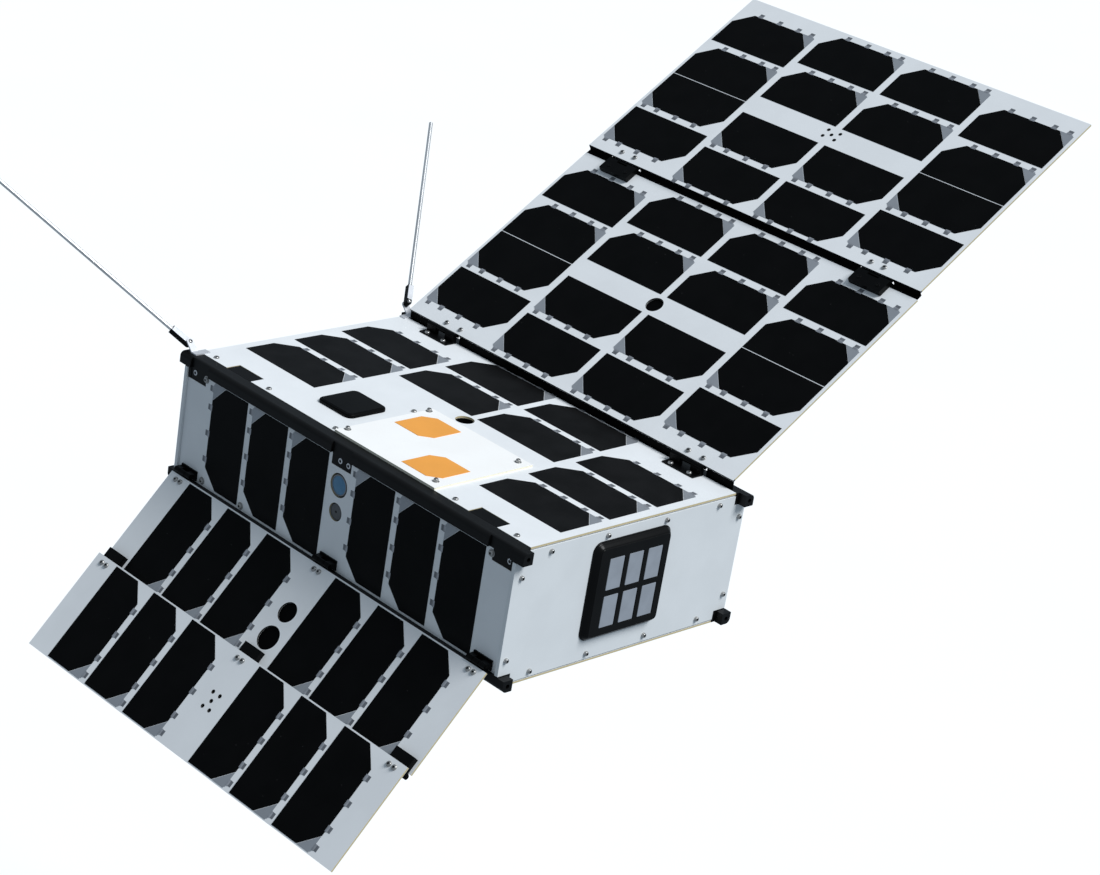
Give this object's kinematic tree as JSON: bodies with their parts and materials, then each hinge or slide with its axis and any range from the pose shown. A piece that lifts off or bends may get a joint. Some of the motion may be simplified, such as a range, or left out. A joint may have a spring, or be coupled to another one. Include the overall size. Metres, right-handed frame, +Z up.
{
  "type": "satellite",
  "caption": "Small box satellite with rails, two double-fold solar wings, two whip antennas, patch antennas, sensors and a window unit.",
  "frame": {"origin": "centre of the box, which is the free_flight mount", "axes": "+X along the rails towards the window unit, +Y across the box towards the upper wing's hinges, +Z up through the face with the patch antennas"},
  "size_m": [0.4779, 0.6628, 0.4393],
  "materials": {
    "rail_black": "black hard-anodised",
    "plate_white": "white thermal paint",
    "patch_white": "white solder mask",
    "solar_cell": "near-black cell under cover glass",
    "board_grey": "white solder mask",
    "board_white": "white solder mask",
    "patch_orange": "orange patch",
    "antenna_black": "black",
    "bezel_black": "satin black",
    "window_grey": "grey coated window",
    "sensor_blue": "blue filter glass",
    "lens_grey": "grey lens cap",
    "bare_metal": "clear anodised",
    "equipment_grey": "milled",
    "whip_steel": "bright spring steel",
    "hinge_black": "black hard-anodised"
  },
  "bodies": {
    "bus": {"rail_top_near": "rail_black", "rail_top_far": "rail_black", "rail_bottom_near": "rail_black", "rail_bottom_far": "rail_black", "front_end_plate": "plate_white", "rear_end_plate": "plate_white", "top_board": "board_white", "near_side_board": "board_grey", "far_side_board": "board_grey", "bottom_board": "board_white", "top_cells": "solar_cell", "near_side_cells": "solar_cell", "far_side_cells": "solar_cell", "patch_board": "patch_white", "patch_elements": "patch_orange", "positioning_antenna": "antenna_black", "window_bezel": "bezel_black", "window_panes": "window_grey", "release_cup": "bare_metal", "sun_sensor": "sensor_blue", "star_eye": "lens_grey", "upper_root_brackets": "hinge_black", "lower_root_brackets": "hinge_black", "near_whip_bracket": "bare_metal", "far_whip_bracket": "bare_metal", "whip_cradle": "plate_white", "equipment_block": "equipment_grey"},
    "upper_inner_wing": {"upper_inner_board": "board_white", "upper_inner_cells": "solar_cell", "upper_root_leaves": "hinge_black", "upper_fold_blocks": "hinge_black"},
    "upper_outer_wing": {"upper_outer_board": "board_white", "upper_outer_cells": "solar_cell", "upper_fold_leaves": "hinge_black"},
    "lower_inner_wing": {"lower_inner_board": "board_white", "lower_inner_cells": "solar_cell", "lower_root_leaves": "hinge_black", "lower_fold_blocks": "hinge_black"},
    "lower_outer_wing": {"lower_outer_board": "board_white", "lower_outer_cells": "solar_cell", "lower_fold_leaves": "hinge_black"},
    "near_whip": {"near_whip_arm": "antenna_black", "near_whip_rod": "whip_steel"},
    "far_whip": {"far_whip_arm": "antenna_black", "far_whip_rod": "whip_steel"}
  },
  "joints": [
    {"name": "upper_wing_hinge", "type": "hinge", "parent": "bus", "child": "upper_inner_wing", "pos_m": [0, 0.0954, 0.0565], "axis": [1, 0, 0], "range_deg": [0, 146.6]},
    {"name": "upper_wing_fold", "type": "hinge", "parent": "upper_inner_wing", "child": "upper_outer_wing", "pos_m": [0, 0.2682, 0.16865], "axis": [1, 0, 0], "range_deg": [-180, 0]},
    {"name": "lower_wing_hinge", "type": "hinge", "parent": "bus", "child": "lower_inner_wing", "pos_m": [0, -0.11365, -0.0362], "axis": [1, 0, 0], "range_deg": [-138.3, 0]},
    {"name": "lower_wing_fold", "type": "hinge", "parent": "lower_inner_wing", "child": "lower_outer_wing", "pos_m": [0, -0.17047, -0.10223], "axis": [1, 0, 0], "range_deg": [0, 180]},
    {"name": "near_whip_pivot", "type": "hinge", "parent": "bus", "child": "near_whip", "pos_m": [-0.1805, -0.103, 0.058], "axis": [0.6794, 0, 0.7337], "range_deg": [-124.3, 0]},
    {"name": "far_whip_pivot", "type": "hinge", "parent": "bus", "child": "far_whip", "pos_m": [-0.1805, 0.103, 0.058], "axis": [0.6794, 0, 0.7337], "range_deg": [0, 124.3]}
  ],
  "couplings": [
    {"joint": "upper_wing_fold", "follows": "upper_wing_hinge", "ratio": -1.2278},
    {"joint": "lower_wing_fold", "follows": "lower_wing_hinge", "ratio": -1.3015}
  ]
}
